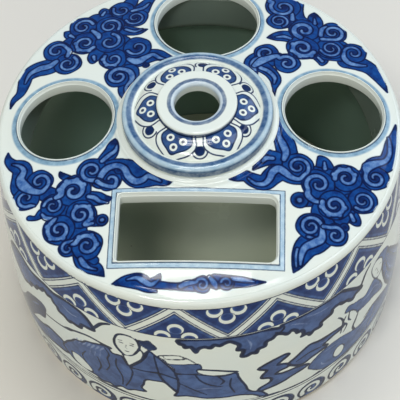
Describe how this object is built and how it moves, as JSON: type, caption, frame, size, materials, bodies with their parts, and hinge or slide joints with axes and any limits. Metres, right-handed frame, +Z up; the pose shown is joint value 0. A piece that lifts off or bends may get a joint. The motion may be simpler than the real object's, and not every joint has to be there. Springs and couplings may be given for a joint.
{
  "type": "brush and ink stand",
  "caption": "Hollow porcelain drum with a gently domed deck pierced by round brush holes, a long slot for ink or seals and a low dome with a collared mouth.",
  "frame": {"origin": "middle of the underside of the foot ring", "axes": "+Z up along the drum's axis, -Y towards the side with the long slot, +X to the right when the slot faces the viewer"},
  "size_m": [0.1876, 0.1876, 0.1266],
  "materials": {
    "painted_glaze": "gloss, cobalt painting under a clear glaze",
    "white_glaze": "gloss, faintly green-blue clear glaze",
    "inner_glaze": "gloss, thin glaze inside",
    "bare_clay": "matt, unglazed foot edge"
  },
  "bodies": {
    "root": {"foot_ring": "bare_clay", "drum_wall": "painted_glaze", "base_plate": "inner_glaze", "luting_band": "inner_glaze", "deck_plate": "painted_glaze", "rim_roll": "white_glaze", "hole_lip_left": "white_glaze", "hole_lip_right": "white_glaze", "hole_lip_back": "white_glaze", "slot_frame": "white_glaze", "dome_shell": "painted_glaze", "dome_moulding": "painted_glaze", "dome_welt": "white_glaze", "mouth_collar": "white_glaze"}
  },
  "joints": []
}
